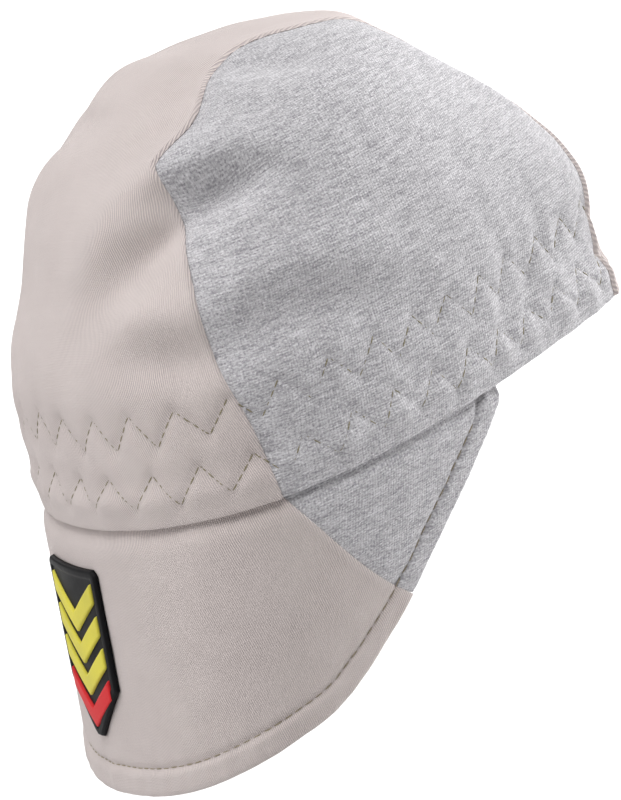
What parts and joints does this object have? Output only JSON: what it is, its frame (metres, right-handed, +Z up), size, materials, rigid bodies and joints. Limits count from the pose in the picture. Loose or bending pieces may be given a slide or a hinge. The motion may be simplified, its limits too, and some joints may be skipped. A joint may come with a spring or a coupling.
{
  "type": "welding cap",
  "caption": "Soft cloth welding cap with a fabric crown of three panels, open underneath, and a fold-down flap at the front that carries a rubber badge.",
  "frame": {"origin": "middle of the cap's opening, where it sits round a head", "axes": "+Z up, -Y towards the side that the flap hangs from, +X towards the left of someone who looks out over the flap; the opening is pitched 19 degrees about X with its flap side lower"},
  "size_m": [0.1576, 0.2032, 0.2453],
  "materials": {
    "cotton_twill": "matte khaki cotton twill with fine diagonal ribs",
    "heather_jersey": "matte grey heather cotton knit with light and dark flecks",
    "black_rubber": "satin moulded soft rubber",
    "yellow_rubber": "satin moulded soft rubber",
    "red_rubber": "satin moulded soft rubber"
  },
  "bodies": {
    "root": {"crown_strip": "cotton_twill", "side_panel_left": "heather_jersey", "side_panel_right": "heather_jersey", "flap_middle": "cotton_twill", "flap_end_left": "heather_jersey", "flap_end_right": "heather_jersey", "badge_base": "black_rubber", "badge_chevron_1": "yellow_rubber", "badge_chevron_2": "yellow_rubber", "badge_chevron_3": "yellow_rubber", "badge_chevron_4": "red_rubber"}
  },
  "joints": []
}
